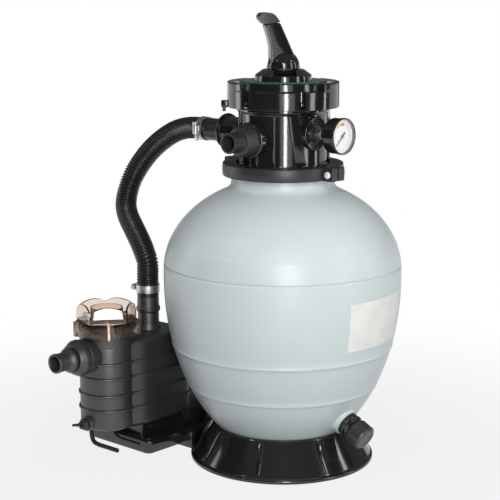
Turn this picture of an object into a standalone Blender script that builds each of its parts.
"""Sand filter set: a filter tank on its base, a multiport valve, a ribbed hose and a strainer pump.

Metres, +Z up. The tank's axis is the modelling origin. The pump stands on the -X side with its shaft
along Y and its suction towards -Y. At the end the whole set is moved so that the middle of its footprint,
leaving out the hose, is at the origin.
"""
import math

import bmesh
import bpy
from mathutils import Vector

# Clearance between pieces that touch, and the distance within which points are one
CLEAR = 0.0003
MERGE = 0.000002

# Sides of round pieces
TANK_SIDES = 32
RING_SIDES = 28
POT_SIDES = 24
PART_SIDES = 20
PIPE_SIDES = 16
SMALL_SIDES = 10
HOSE_SIDES = 8

# Tank: an elliptical bowl, a straight belt, an elliptical dome and a flanged neck
TANK_RADIUS = 0.1775
TANK_WALL = 0.005
TANK_FOOT = 0.024
BELT_LOW = 0.276
BELT_HEIGHT = 0.014
BOWL_DROP = 0.269
DOME_RISE = 0.1366
NECK_RADIUS = 0.0763
NECK_WALL = 0.006
NECK_LENGTH = 0.0275
FLANGE_WIDTH = 0.0067
FLANGE_THICK = 0.006
SEAL_WIDTH = 0.003
SEAL_DEPTH = 0.0025

# Base: a flared skirt with upright ribs, which carries the tank's foot and bowl
BASE_RADIUS = 0.139
BASE_HEIGHT = 0.0545
BASE_WALL = 0.004
BASE_RIM = 0.0045
BASE_LIP = 0.005
BASE_RIBS = 8
BASE_RIB_HEIGHT = 0.0022
BASE_RIB_HALF_ANGLE = 2.5
BASE_RIB_START = -65.0
BASE_HOLE = 0.030

# Underdrain inside the tank
PIPE_RADIUS = 0.016
PIPE_WALL = 0.0025
HUB_RADIUS = 0.026
HUB_HEIGHT = 0.049
LATERALS = 4
LATERAL_RADIUS = 0.0075
LATERAL_LENGTH = 0.060
LATERAL_SPIGOT = 0.005

# Tank drain on the +X side
DRAIN_HEIGHT = 0.0785
DRAIN_TILT = 27.0
DRAIN_BOSS_RADIUS = 0.0205
DRAIN_BOSS_PROUD = 0.006
DRAIN_TUBE_RADIUS = 0.0105
DRAIN_TUBE_INSIDE = 0.016
DRAIN_BORE = 0.007
DRAIN_SEAL_THICK = 0.002
DRAIN_COLLAR_RADIUS = 0.0172
DRAIN_COLLAR_LENGTH = 0.004
DRAIN_BODY_RADIUS = 0.0145
DRAIN_BODY_LENGTH = 0.0095
DRAIN_THREAD_RADIUS = 0.0125
DRAIN_THREAD_LENGTH = 0.015
DRAIN_CAP_RADIUS = 0.018
DRAIN_CAP_LENGTH = 0.022

# Valve body, measured up from the tank's flange
BODY_RADIUS = 0.0655
BODY_WALL = 0.0055
BODY_HEIGHT = 0.099
BODY_FLOOR = 0.0105
RIM_THICK = 0.0075
LID_INSET = 0.001
LID_SKIRT = 0.0022
SPIDER_HEIGHT = 0.064
SPIDER_WALL = 0.003
SOCKET_WALL = 0.0032
PORT_HEIGHT = 0.047
PORT_RADIUS = 0.0266
PORT_REACH = 0.078
PORT_BORE = 0.0178
BODY_RIBS = (-61.0, 37.0, 61.0, 119.0, -119.0)
BODY_RIB_PROUD = 0.0035
BODY_RIB_THICK = 0.0028
STRUT_FOOT_ANGLE = -26.5
STRUT_HEAD_ANGLE = -37.0
STRUT_WIDTH = 0.016
STRUT_PROUD = 0.003

# Diffuser under the valve, measured down from the tank's flange
DIFFUSER_TOP = 0.001
DIFFUSER_SHOULDER = 0.009
DIFFUSER_KNEE = 0.016
DIFFUSER_DROP = 0.034
DIFFUSER_NECK = 0.004
DIFFUSER_FLARE = 0.016
DIFFUSER_WALL = 0.0025

# Two-piece clamp round the flanges
CLAMP_WALL = 0.0062
CLAMP_LIP = 0.0032
CLAMP_GAP = 0.0016
LUG_LENGTH = 0.0145
LUG_REACH = 0.0155
BOLT_RADIUS = 0.003
BOLT_HEAD = 0.0052

# Lid, rotor and handle
LID_THICK = 0.0177
LID_RISE = 0.011
LID_TOWERS = ((-4.0, 84.0), (176.0, 264.0))
LID_POCKETS = 6
LID_POCKET_RADIUS = 0.0062
COLLAR_RADIUS = 0.0415
COLLAR_EDGE = 0.0095
COLLAR_HEIGHT = 0.018
PLATE_RADIUS = 0.064
PLATE_THICK = 0.001
STEM_RADIUS = 0.010
GASKET_THICK = 0.002
ROTOR_THICK = 0.006
SPRING_RADIUS = 0.021
SPRING_WIRE = 0.0015
SPRING_TURNS = 5
WASHER_THICK = 0.0012
PIN_RADIUS = 0.003
PIN_RISE = 0.021
HUB_DOME = 0.024
HUB_BELOW = 0.0145
HANDLE_ANGLE = -135.0
HANDLE_TILT = 25.0
HANDLE_HALF_WIDTH = 0.013
LEVER_RISE = 0.078
LEVER_LEAN = 0.039

# Hose tails screwed into the ports
TAIL_RADIUS = 0.0145
TAIL_BORE = 0.0105
TAIL_LENGTH = 0.0235
SHOULDER_RADIUS = 0.0222
SHOULDER_LENGTH = 0.0185
HOSE_TAIL_RADIUS = 0.013
HOSE_TAIL_LENGTH = 0.036
HOSE_STOP_RADIUS = 0.027
HOSE_STOP_REACH = 0.1135
HOSE_STOP_THICK = 0.005

# Pressure gauge on the +X side
GAUGE_SIDE = -0.007
GAUGE_HEIGHT = 0.0565
GAUGE_BOSS_RADIUS = 0.0246
GAUGE_BOSS_REACH = 0.0695
GAUGE_STEM_RADIUS = 0.0058
GAUGE_STEM_INSIDE = 0.0155
GAUGE_HEX_RADIUS = 0.0078
GAUGE_HEX_LENGTH = 0.012
GAUGE_PIPE_RADIUS = 0.006
GAUGE_NECK = 0.027
GAUGE_RADIUS = 0.0262
GAUGE_DEPTH = 0.024
GAUGE_WALL = 0.0012
GAUGE_STEP = 0.001
GAUGE_BEZEL = 0.006
GAUGE_DIAL_DEPTH = 0.0062
GAUGE_LENS_DEPTH = 0.0026
NEEDLE_LENGTH = 0.0175
NEEDLE_TAIL = 0.0065

# Hose: bore, ribs, straight leads with plain cuffs, and the points of its route chosen from the photograph
HOSE_BORE = 0.0144
HOSE_ROOT = 0.0151
HOSE_CREST = 0.0171
HOSE_RIBS = 84
HOSE_BORE_RINGS = 24
HOSE_LEAD = 0.052
HOSE_LOW_LEAD = 0.050
HOSE_CUFF = 0.054
HOSE_LOW_CUFF = 0.0195
HOSE_ROUTE = (
    (-0.192, -0.001, 0.4865),
    (-0.218, -0.0035, 0.4795),
    (-0.242, -0.009, 0.465),
    (-0.262, -0.0155, 0.447),
    (-0.277, -0.023, 0.4265),
    (-0.287, -0.031, 0.405),
    (-0.2905, -0.0395, 0.383),
    (-0.286, -0.0495, 0.362),
    (-0.2715, -0.0585, 0.345),
    (-0.2505, -0.066, 0.328),
    (-0.230, -0.072, 0.3095),
    (-0.2165, -0.0755, 0.293),
)
BAND_WIDTH = 0.012
BAND_THICK = 0.001

# Pump: strainer pot in front, impeller chamber behind it
PUMP_GAP = 0.033
POT_SIDE = -0.164
POT_RADIUS = 0.042
POT_WALL = 0.0035
POT_SHELL = 0.0008
POT_BOTTOM = 0.040
POT_TOP = 0.188
POT_NECK_RADIUS = 0.045
POT_NECK_HEIGHT = 0.012
CHAMBER_HALF = 0.050
CHAMBER_LENGTH = 0.134
CHAMBER_TOP = 0.1775
CHAMBER_CORNER = 0.016
CHAMBER_BORE = 0.040
RIDGES = (0.0723, 0.0957, 0.1224, 0.1454)
RIDGE_PROUD = 0.0014
RIDGE_HALF = 0.0024
SUCTION_HEIGHT = 0.158
SUCTION_BOSS_RADIUS = 0.0255
SUCTION_BOSS_REACH = 0.053
SUCTION_BORE = 0.015
SUCTION_NUT_RADIUS = 0.0268
SUCTION_NUT_LENGTH = 0.020
SUCTION_NUT_GRIP = 0.0105
SUCTION_NUT_FACE = 0.0208
SUCTION_TAIL_RADIUS = 0.0141
SUCTION_REACH = 0.106
DISCHARGE_SIDE = 0.0875
DISCHARGE_RADIUS = 0.0165
DISCHARGE_TOP = 0.205
DISCHARGE_FITTING = 0.0235
PLUG_HEIGHT = 0.052
PLUG_RADIUS = 0.009
PLUG_BORE = 0.0068
PLUG_BOSS_REACH = 0.0475
EYE_BORE = 0.016
OUTLET_BORE = 0.0118
DRIP_RADIUS = 0.0035
DRIP_START = -0.034
DRIP_END = 0.025
DRIP_SIDE = -0.006

# Strainer lid and basket
STRAINER_RADIUS = 0.0487
STRAINER_LUG_REACH = 0.0530
STRAINER_LUG_HALF = 0.0045
STRAINER_LOW = 0.1850
STRAINER_DECK = 0.0045
STRAINER_SEAL = 0.0024
CROWN_RADIUS = 0.0405
CROWN_SCALLOP = 0.0055
CROWN_LOBES = 5
CROWN_START = -42.5
CROWN_WALL = 0.003
CROWN_TOP = 0.2325
CROWN_VALLEY = 0.2115
BASKET_RADIUS = 0.0365
BASKET_BOTTOM = 0.072
BASKET_WALL = 0.0016

# Motor behind the pump
SHAFT_HEIGHT = 0.110
SHAFT_RADIUS = 0.006
SEAL_PLATE_RADIUS = 0.048
SEAL_PLATE_THICK = 0.011
MOTOR_RADIUS = 0.050
MOTOR_WALL = 0.0045
MOTOR_LENGTH = 0.118
SHIELD_THICK = 0.010
STATOR_LENGTH = 0.066
STATOR_BORE = 0.027
IMPELLER_RADIUS = 0.034
IMPELLER_HUB = 0.0105
IMPELLER_WIDTH = 0.018
IMPELLER_PLATE = 0.003
IMPELLER_VANES = 5
VANE_HALF = 0.0012
VANE_WIDTH = 0.012
CORE_START = 0.030
FAN_GAP = 0.006
FAN_RADIUS = 0.036
FAN_HUB = 0.012
FAN_WEB = 0.004
FAN_PLATE = 0.0025
FAN_WIDTH = 0.012
FAN_BLADES = 6
BLADE_HALF = 0.001
BLADE_WIDTH = 0.008
COVER_LENGTH = 0.036
COVER_WALL = 0.0016
BOX_HALF = 0.028
BOX_LENGTH = 0.056
BOX_TOP = 0.192
GLAND_RADIUS = 0.009
GLAND_LENGTH = 0.020

# Platform under the pump
PLATFORM_HALF = 0.067
PLATFORM_FRONT = 0.020
PLATFORM_HEIGHT = 0.021
PLATFORM_CORNER = 0.012
PAD_HALF = 0.038
TAB_HALF = 0.080

# Places that follow from the sizes above
BELT_HIGH = BELT_LOW + BELT_HEIGHT
NECK_BORE = NECK_RADIUS - NECK_WALL
FLANGE_RADIUS = NECK_RADIUS + FLANGE_WIDTH
FLANGE_PLANE = BELT_HIGH + DOME_RISE * math.sqrt(1 - (NECK_RADIUS / TANK_RADIUS) ** 2) + NECK_LENGTH
LID_RADIUS = FLANGE_RADIUS - LID_INSET
SEAL_OUT = FLANGE_RADIUS - 0.0025
SEAL_IN = SEAL_OUT - SEAL_WIDTH
BODY_BORE = BODY_RADIUS - BODY_WALL
RIM_RADIUS = LID_RADIUS - LID_SKIRT - CLEAR
PIPE_SOCKET = PIPE_RADIUS + CLEAR
PIPE_BORE = PIPE_RADIUS - PIPE_WALL
SOCKET_RADIUS = PIPE_SOCKET + SOCKET_WALL
SOCKET_DROP = 0.013
PIPE_TOP = 0.019
LID_SEAT = BODY_HEIGHT + CLEAR
LID_DECK = LID_SEAT + LID_THICK
LID_TOP = LID_DECK + LID_RISE
LID_UNDER = LID_SEAT + LID_THICK - 0.0045
COLLAR_TOP = LID_TOP + COLLAR_HEIGHT
COLLAR_FLOOR = LID_TOP + 0.001
PIN_HEIGHT = LID_TOP + PIN_RISE
STEM_ABOVE_PIN = PIN_RADIUS + 0.0045
ROTOR_LOW = SPIDER_HEIGHT + GASKET_THICK + 2 * CLEAR
ROTOR_TOP = ROTOR_LOW + ROTOR_THICK
PUMP_X = -(TANK_RADIUS + PUMP_GAP)
POT_BORE = POT_RADIUS - POT_WALL
NECK_TOP = POT_TOP + POT_NECK_HEIGHT
BASKET_LEDGE = NECK_TOP - 0.0095
BASKET_HOLD = POT_BORE + 0.0017
STRAINER_UNDER = NECK_TOP + STRAINER_SEAL + 2 * CLEAR
MOTOR_START = CHAMBER_LENGTH + SEAL_PLATE_THICK + 2 * CLEAR
MOTOR_END = MOTOR_START + MOTOR_LENGTH
MOTOR_BORE = MOTOR_RADIUS - MOTOR_WALL
SHAFT_HOLE = SHAFT_RADIUS + CLEAR
DISCHARGE_HOSE = DISCHARGE_TOP + CLEAR + DISCHARGE_FITTING + CLEAR
PLATFORM_REAR = MOTOR_END + 0.012


def clear_scene():
    """Removes every object that the scene starts with."""
    for item in list(bpy.data.objects):
        bpy.data.objects.remove(item)


def finish(name, colour, roughness, metallic=0.0, alpha=1.0):
    """A material with the piece's colour and gloss."""
    found = bpy.data.materials.get(name)
    if found:
        return found
    result = bpy.data.materials.new(name)
    result.use_nodes = True
    shader = result.node_tree.nodes["Principled BSDF"]
    shader.inputs["Base Color"].default_value = (*colour, 1.0)
    shader.inputs["Roughness"].default_value = roughness
    shader.inputs["Metallic"].default_value = metallic
    shader.inputs["Alpha"].default_value = alpha
    return result


def finishes():
    """Every finish on the set, by name."""
    return {
        "tank": finish("tank_plastic", (0.60, 0.66, 0.68), 0.38),
        "gloss": finish("gloss_black", (0.012, 0.012, 0.013), 0.16),
        "satin": finish("satin_black", (0.030, 0.031, 0.033), 0.45),
        "charcoal": finish("charcoal_plastic", (0.050, 0.051, 0.053), 0.5),
        "rubber": finish("black_rubber", (0.018, 0.018, 0.018), 0.75),
        "hose": finish("hose_plastic", (0.014, 0.014, 0.015), 0.5),
        "steel": finish("steel", (0.66, 0.67, 0.68), 0.28, 1.0),
        "zinc": finish("zinc", (0.60, 0.60, 0.58), 0.35, 1.0),
        "white": finish("white_plastic", (0.80, 0.80, 0.78), 0.5),
        "green": finish("green_plate", (0.05, 0.16, 0.10), 0.4),
        "amber": finish("amber_lid", (0.34, 0.20, 0.12), 0.08, 0.0, 0.45),
        "glass": finish("gauge_glass", (0.90, 0.92, 0.92), 0.05, 0.0, 0.2),
        "dial": finish("dial_face", (0.90, 0.90, 0.88), 0.45),
        "core": finish("steel_core", (0.30, 0.31, 0.33), 0.4, 1.0),
    }


def empty(name, location, parent=None):
    """A named frame that pieces are parented to."""
    result = bpy.data.objects.new(name, None)
    bpy.context.scene.collection.objects.link(result)
    result.location = location
    result.parent = parent
    return result


def piece(name, mesh, look, parent, location=(0, 0, 0), direction=(0, 0, 1), turn=0.0):
    """An object with its own origin, its local +Z pointed along direction."""
    result = bpy.data.objects.new(name, mesh)
    bpy.context.scene.collection.objects.link(result)
    result.parent = parent
    result.location = location
    aim = Vector((0, 0, 1)).rotation_difference(Vector(direction))
    result.rotation_euler = aim.to_euler()
    if turn:
        result.rotation_euler = (0, 0, math.radians(turn))
    if look:
        mesh.materials.append(look)
    return result


def skin(name, loops, wrap):
    """Closed mesh through loops of points, wrapped round to the first loop or capped at both ends."""
    shape = bmesh.new()
    rings = [[shape.verts.new(point) for point in loop] for loop in loops]
    last = len(rings) if wrap else len(rings) - 1
    for index in range(last):
        here = rings[index]
        there = rings[(index + 1) % len(rings)]
        for side in range(len(here)):
            after = (side + 1) % len(here)
            shape.faces.new((here[side], here[after], there[after], there[side]))
    if not wrap:
        shape.faces.new(rings[0])
        shape.faces.new(rings[-1])
    bmesh.ops.remove_doubles(shape, verts=shape.verts[:], dist=MERGE)
    bmesh.ops.recalc_face_normals(shape, faces=shape.faces[:])
    mesh = bpy.data.meshes.new(name)
    shape.to_mesh(mesh)
    shape.free()
    mesh.shade_smooth()
    mesh.set_sharp_from_angle(angle=math.radians(32))
    return mesh


def around(radius, angle, height=0.0):
    """The point at a radius and an angle in degrees."""
    turn = math.radians(angle)
    return (radius * math.cos(turn), radius * math.sin(turn), height)


def clear_bore(radius, sides):
    """Radius of a many-sided bore whose flats clear a round piece."""
    return (radius + CLEAR) / math.cos(math.pi / sides)


def lathe(name, profile, sides):
    """A profile of (radius, height) points turned round Z, with flat caps where it meets the axis."""
    step = 360.0 / sides
    hollow = profile[0][0] > 0
    rings = profile if hollow else profile[1:-1]
    loops = [[around(r, step * (index + 0.5), z) for index in range(sides)] for r, z in rings]
    return skin(name, loops, hollow)


def arc_lathe(name, profile, start, sweep, steps):
    """A closed profile turned through part of a circle, with flat ends."""
    loops = [[around(r, start + sweep * index / steps, z) for r, z in profile] for index in range(steps + 1)]
    return skin(name, loops, False)


def rod(name, radius, start, end, sides=SMALL_SIDES):
    """A solid cylinder on Z from one height to another."""
    return lathe(name, [(0, start), (radius, start), (radius, end), (0, end)], sides)


def ring(name, inner, outer, start, end, sides=RING_SIDES):
    """A flat ring with square edges."""
    return lathe(name, [(inner, start), (outer, start), (outer, end), (inner, end)], sides)


def prism(name, outline, start, end):
    """An outline of (x, y) points drawn up from one height to another."""
    return skin(name, [[(x, y, start) for x, y in outline], [(x, y, end) for x, y in outline]], False)


def block(name, low, high):
    """A box between two corners."""
    outline = [(low[0], low[1]), (high[0], low[1]), (high[0], high[1]), (low[0], high[1])]
    return prism(name, outline, low[2], high[2])


def rounded_outline(low, high, radius, steps=4):
    """A rectangle in plan with rounded corners."""
    corners = ((high[0], high[1], 0), (low[0], high[1], 90), (low[0], low[1], 180), (high[0], low[1], 270))
    outline = []
    for x, y, start in corners:
        middle_x = x - radius if x == high[0] else x + radius
        middle_y = y - radius if y == high[1] else y + radius
        for index in range(steps + 1):
            offset = around(radius, start + 90 * index / steps)
            outline.append((middle_x + offset[0], middle_y + offset[1]))
    return outline


def combine(target, tool, operation):
    """Joins a tool to a piece or cuts it away, and removes the tool."""
    modifier = target.modifiers.new("shape", "BOOLEAN")
    modifier.operation = operation
    modifier.object = tool
    bpy.context.view_layer.update()
    view = bpy.context.evaluated_depsgraph_get()
    mesh = bpy.data.meshes.new_from_object(target.evaluated_get(view))
    target.modifiers.clear()
    target.data = mesh
    bpy.data.objects.remove(tool)
    mesh.shade_smooth()
    mesh.set_sharp_from_angle(angle=math.radians(32))


def unite(target, mesh, **place):
    """Joins another solid to a piece, in the frame of the piece's parent."""
    combine(target, piece("tool", mesh, None, target.parent, **place), "UNION")


def cut(target, mesh, **place):
    """Cuts a solid away from a piece, in the frame of the piece's parent."""
    combine(target, piece("tool", mesh, None, target.parent, **place), "DIFFERENCE")


def bowl_radius(height):
    """The tank's outer radius at a height in its bowl."""
    drop = (BELT_LOW - height) / BOWL_DROP
    return TANK_RADIUS * math.sqrt(1 - drop * drop)


def tank_side(wall, foot, neck, bowl_steps, dome_steps):
    """Points up one side of the tank's wall, from its foot to its neck."""
    radius = TANK_RADIUS - wall
    drop = BOWL_DROP - wall
    rise = DOME_RISE - wall
    low = math.asin((BELT_LOW - foot) / drop)
    high = math.acos(neck / radius)
    points = []
    for index in range(bowl_steps + 1):
        angle = low * (1 - index / bowl_steps)
        points.append((radius * math.cos(angle), BELT_LOW - drop * math.sin(angle)))
    for index in range(dome_steps + 1):
        angle = high * index / dome_steps
        points.append((radius * math.cos(angle), BELT_HIGH + rise * math.sin(angle)))
    return points


def drain_place():
    """Where the tank drain leaves the bowl, and its direction, tilted down."""
    tilt = math.radians(DRAIN_TILT)
    return (bowl_radius(DRAIN_HEIGHT), 0, DRAIN_HEIGHT), (math.cos(tilt), 0, -math.sin(tilt))


def build_tank(root, looks):
    """The tank shell, open at its neck, with a boss and a hole for the drain."""
    outer = tank_side(0.0, TANK_FOOT, NECK_RADIUS, 7, 5)
    inner = tank_side(TANK_WALL, TANK_FOOT + TANK_WALL, NECK_BORE, 4, 3)
    low = FLANGE_PLANE - FLANGE_THICK
    groove = FLANGE_PLANE - SEAL_DEPTH
    neck = [
        (NECK_RADIUS, low), (FLANGE_RADIUS, low), (FLANGE_RADIUS, FLANGE_PLANE), (SEAL_OUT, FLANGE_PLANE),
        (SEAL_OUT, groove), (SEAL_IN, groove), (SEAL_IN, FLANGE_PLANE), (NECK_BORE, FLANGE_PLANE),
    ]
    profile = [(0, TANK_FOOT)] + outer + neck + inner[::-1] + [(0, TANK_FOOT + TANK_WALL)]
    shell = piece("tank_shell", lathe("tank_shell", profile, TANK_SIDES), looks["tank"], root)
    spot, aim = drain_place()
    boss = rod("boss", DRAIN_BOSS_RADIUS, -TANK_WALL, DRAIN_BOSS_PROUD, PIPE_SIDES)
    unite(shell, boss, location=spot, direction=aim)
    hole = rod("hole", DRAIN_TUBE_RADIUS + CLEAR, -0.03, 0.03, PIPE_SIDES)
    cut(shell, hole, location=spot, direction=aim)
    seal_top = FLANGE_PLANE + CLEAR / 3
    seal = ring("neck_seal", SEAL_IN + CLEAR, SEAL_OUT - CLEAR, groove + CLEAR, seal_top, TANK_SIDES)
    piece("neck_seal", seal, looks["rubber"], root)


def base_profile(proud):
    """The base's section: lip, flared skirt, rim round the bowl, and the shelf under the tank's foot."""
    rim = bowl_radius(BASE_HEIGHT) + 2 * CLEAR
    shelf_top = TANK_FOOT - CLEAR
    shelf_low = shelf_top - BASE_WALL
    flare = (BASE_RADIUS - BASE_WALL - rim - BASE_RIM) / (BASE_HEIGHT - BASE_LIP)
    skirt = BASE_RADIUS - BASE_WALL
    inner_high = skirt - flare * shelf_top - BASE_WALL
    inner_low = skirt - flare * shelf_low - BASE_WALL
    return [
        (BASE_RADIUS - 2 * BASE_WALL, 0), (BASE_RADIUS, 0), (BASE_RADIUS, BASE_LIP),
        (skirt + proud, BASE_LIP + 0.0015), (rim + BASE_RIM + proud * 0.6, BASE_HEIGHT - 0.001),
        (rim + BASE_RIM - 0.001, BASE_HEIGHT), (rim, BASE_HEIGHT),
        (inner_high, shelf_top), (BASE_HOLE, shelf_top), (BASE_HOLE, shelf_low), (inner_low, shelf_low),
    ]


def build_base(root, looks):
    """The flared base ring with its upright ribs."""
    loops = []
    pitch = 360.0 / BASE_RIBS
    half = BASE_RIB_HALF_ANGLE
    spread = (pitch - 2 * half) / 4
    for index in range(BASE_RIBS):
        middle = BASE_RIB_START + pitch * index
        top = half * 0.6
        stations = [(middle - half, 0), (middle - top, 1), (middle + top, 1), (middle + half, 0)]
        stations += [(middle + half + spread * step, 0) for step in (1, 2, 3)]
        for angle, raised in stations:
            section = base_profile(BASE_RIB_HEIGHT * raised)
            loops.append([around(r, angle, z) for r, z in section])
    piece("tank_base", skin("tank_base", loops, True), looks["gloss"], root)


def build_underdrain(root, looks):
    """Standpipe, hub and laterals at the bottom of the tank."""
    floor = TANK_FOOT + TANK_WALL + CLEAR
    top = floor + HUB_HEIGHT
    socket = top - 0.020
    arm = floor + 0.034
    hub_profile = [
        (0, floor), (0.012, floor), (0.012, floor + 0.018), (HUB_RADIUS, floor + 0.022),
        (HUB_RADIUS, top), (PIPE_SOCKET, top), (PIPE_SOCKET, socket), (0.009, socket),
        (0.009, floor + 0.025), (0, floor + 0.025),
    ]
    hub = piece("lateral_hub", lathe("lateral_hub", hub_profile, PIPE_SIDES), looks["white"], root)
    sleeve = LATERAL_SPIGOT + CLEAR
    for index in range(LATERALS):
        angle = 45.0 + 360.0 * index / LATERALS
        aim = around(1.0, angle)
        cut(hub, rod("hole", sleeve, 0.004, 0.05, 8), location=(0, 0, arm), direction=aim)
        start = HUB_RADIUS + CLEAR
        end = start + LATERAL_LENGTH
        arm_profile = [
            (0, end - 0.003), (0.0035, end - 0.003), (0.0035, 0.0195), (LATERAL_SPIGOT, 0.0195),
            (LATERAL_SPIGOT, start), (LATERAL_RADIUS, start), (LATERAL_RADIUS, end), (0, end),
        ]
        name = f"lateral_{index + 1}"
        piece(name, lathe(name, arm_profile, 8), looks["white"], root, (0, 0, arm), aim)
    pipe_top = FLANGE_PLANE + PIPE_TOP - CLEAR
    pipe = ring("standpipe", PIPE_BORE, PIPE_RADIUS, socket + CLEAR, pipe_top, PIPE_SIDES)
    piece("standpipe", pipe, looks["white"], root)


def build_drain(root, looks):
    """Drain spigot through the tank wall, its seal and its cap, which turns off its thread."""
    spot, aim = drain_place()
    seat = DRAIN_BOSS_PROUD + CLEAR
    face = seat + DRAIN_SEAL_THICK
    body = face + CLEAR + DRAIN_COLLAR_LENGTH
    thread = body + DRAIN_BODY_LENGTH
    tip = thread + DRAIN_THREAD_LENGTH
    wide = DRAIN_COLLAR_RADIUS - 0.0007
    seal = ring("drain_seal", DRAIN_TUBE_RADIUS + CLEAR, wide, seat, face, SMALL_SIDES)
    piece("drain_seal", seal, looks["rubber"], root, spot, aim)
    collar = [
        (DRAIN_BORE, -DRAIN_TUBE_INSIDE), (DRAIN_TUBE_RADIUS, -DRAIN_TUBE_INSIDE),
        (DRAIN_TUBE_RADIUS, face + CLEAR), (DRAIN_COLLAR_RADIUS, face + CLEAR), (DRAIN_COLLAR_RADIUS, body),
        (DRAIN_BODY_RADIUS, body), (DRAIN_BODY_RADIUS, thread), (DRAIN_THREAD_RADIUS, thread),
        (DRAIN_THREAD_RADIUS, tip), (DRAIN_BORE, tip),
    ]
    piece("drain_spigot", lathe("drain_spigot", collar, SMALL_SIDES), looks["satin"], root, spot, aim)
    start = thread + CLEAR
    end = start + DRAIN_CAP_LENGTH
    hold = DRAIN_THREAD_RADIUS + CLEAR
    cap = [
        (0, end - 0.004), (hold, end - 0.004), (hold, start), (DRAIN_CAP_RADIUS, start),
        (DRAIN_CAP_RADIUS, end - 0.003), (DRAIN_CAP_RADIUS - 0.003, end), (0, end),
    ]
    piece("drain_cap", lathe("drain_cap", cap, PIPE_SIDES), looks["charcoal"], root, spot, aim)


def sector(name, inner, outer, start, sweep, low, high, steps=3):
    """A wedge of a ring between two angles."""
    profile = [(inner, low), (outer, low), (outer, high), (inner, high)]
    return arc_lathe(name, profile, start, sweep, steps)


PORTS = {"pump": (-1, 0, 0), "return": (0, -1, 0), "waste": (0, 1, 0)}


def rib_section(angle, height, width, proud):
    """One end of an outside rib on the valve body: four points at a height."""
    half = math.degrees(width / 2 / BODY_RADIUS)
    near = BODY_RADIUS - 0.004
    far = BODY_RADIUS + proud
    corners = ((near, -half), (far, -half), (far, half), (near, half))
    return [around(radius, angle + offset, height) for radius, offset in corners]


def build_valve_body(valve, looks):
    """Valve body: flange, barrel with ribs and port bosses, four inner chambers round the centre pipe."""
    low = CLEAR
    top = CLEAR + FLANGE_THICK
    rim = BODY_HEIGHT - RIM_THICK
    groove = BODY_HEIGHT - SEAL_DEPTH
    groove_out = RIM_RADIUS - 0.0055
    outside = [
        (0, -SOCKET_DROP), (SOCKET_RADIUS, -SOCKET_DROP), (SOCKET_RADIUS, low), (FLANGE_RADIUS, low),
        (FLANGE_RADIUS, top), (BODY_RADIUS + 0.002, top), (BODY_RADIUS, top + 0.003),
        (BODY_RADIUS, rim - 0.002), (RIM_RADIUS, rim), (RIM_RADIUS, BODY_HEIGHT), (groove_out, BODY_HEIGHT),
        (groove_out, groove), (groove_out - SEAL_WIDTH, groove), (groove_out - SEAL_WIDTH, BODY_HEIGHT),
        (0, BODY_HEIGHT),
    ]
    body = piece("valve_body", lathe("valve_body", outside, RING_SIDES), looks["gloss"], valve)
    spot = (0, 0, PORT_HEIGHT)
    for aim in PORTS.values():
        unite(body, rod("boss", PORT_RADIUS, 0.040, PORT_REACH, PIPE_SIDES), location=spot, direction=aim)
    gauge = (0, GAUGE_SIDE, GAUGE_HEIGHT)
    gauge_boss = rod("boss", GAUGE_BOSS_RADIUS, 0.036, GAUGE_BOSS_REACH, PIPE_SIDES)
    unite(body, gauge_boss, location=gauge, direction=(1, 0, 0))
    ribs = [(angle, angle, BODY_RIB_THICK, BODY_RIB_PROUD) for angle in BODY_RIBS]
    ribs.append((STRUT_FOOT_ANGLE, STRUT_HEAD_ANGLE, STRUT_WIDTH, STRUT_PROUD))
    for foot_angle, head_angle, width, proud in ribs:
        foot = rib_section(foot_angle, top + 0.004, width, proud)
        head = rib_section(head_angle, rim - 0.001, width, proud)
        unite(body, skin("rib", [foot, head], False))
    cut(body, rod("bore", BODY_BORE, SPIDER_HEIGHT, BODY_HEIGHT + 0.01, RING_SIDES))
    pipe = [
        (0, -SOCKET_DROP - 0.01), (PIPE_SOCKET, -SOCKET_DROP - 0.01), (PIPE_SOCKET, PIPE_TOP),
        (PIPE_BORE, PIPE_TOP), (PIPE_BORE, SPIDER_HEIGHT + 0.01), (0, SPIDER_HEIGHT + 0.01),
    ]
    cut(body, lathe("bore", pipe, PIPE_SIDES))
    wall = math.degrees(SPIDER_WALL / BODY_BORE)
    for index in range(4):
        start = -45.0 + 90.0 * index + wall
        sweep = 90.0 - 2 * wall
        inside = PIPE_SOCKET + 0.0018
        chamber = sector("chamber", inside, BODY_BORE, start, sweep, BODY_FLOOR, SPIDER_HEIGHT + 0.001)
        cut(body, chamber)
    for aim in PORTS.values():
        cut(body, rod("bore", PORT_BORE, 0.050, PORT_REACH + 0.01, PIPE_SIDES), location=spot, direction=aim)
    stem_hole = GAUGE_STEM_RADIUS + CLEAR
    stem_bore = rod("bore", stem_hole, 0.045, GAUGE_BOSS_REACH + 0.01, PIPE_SIDES)
    cut(body, stem_bore, location=gauge, direction=(1, 0, 0))
    for side in (-1, 1):
        cut(body, rod("feed", 0.011, -0.01, BODY_FLOOR + 0.005), location=(side * 0.040, 0, 0))
    seal_in = groove_out - SEAL_WIDTH + CLEAR
    seal = ring("lid_seal", seal_in, groove_out - CLEAR, groove + CLEAR, BODY_HEIGHT + CLEAR / 3)
    piece("lid_seal", seal, looks["rubber"], valve)


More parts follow.
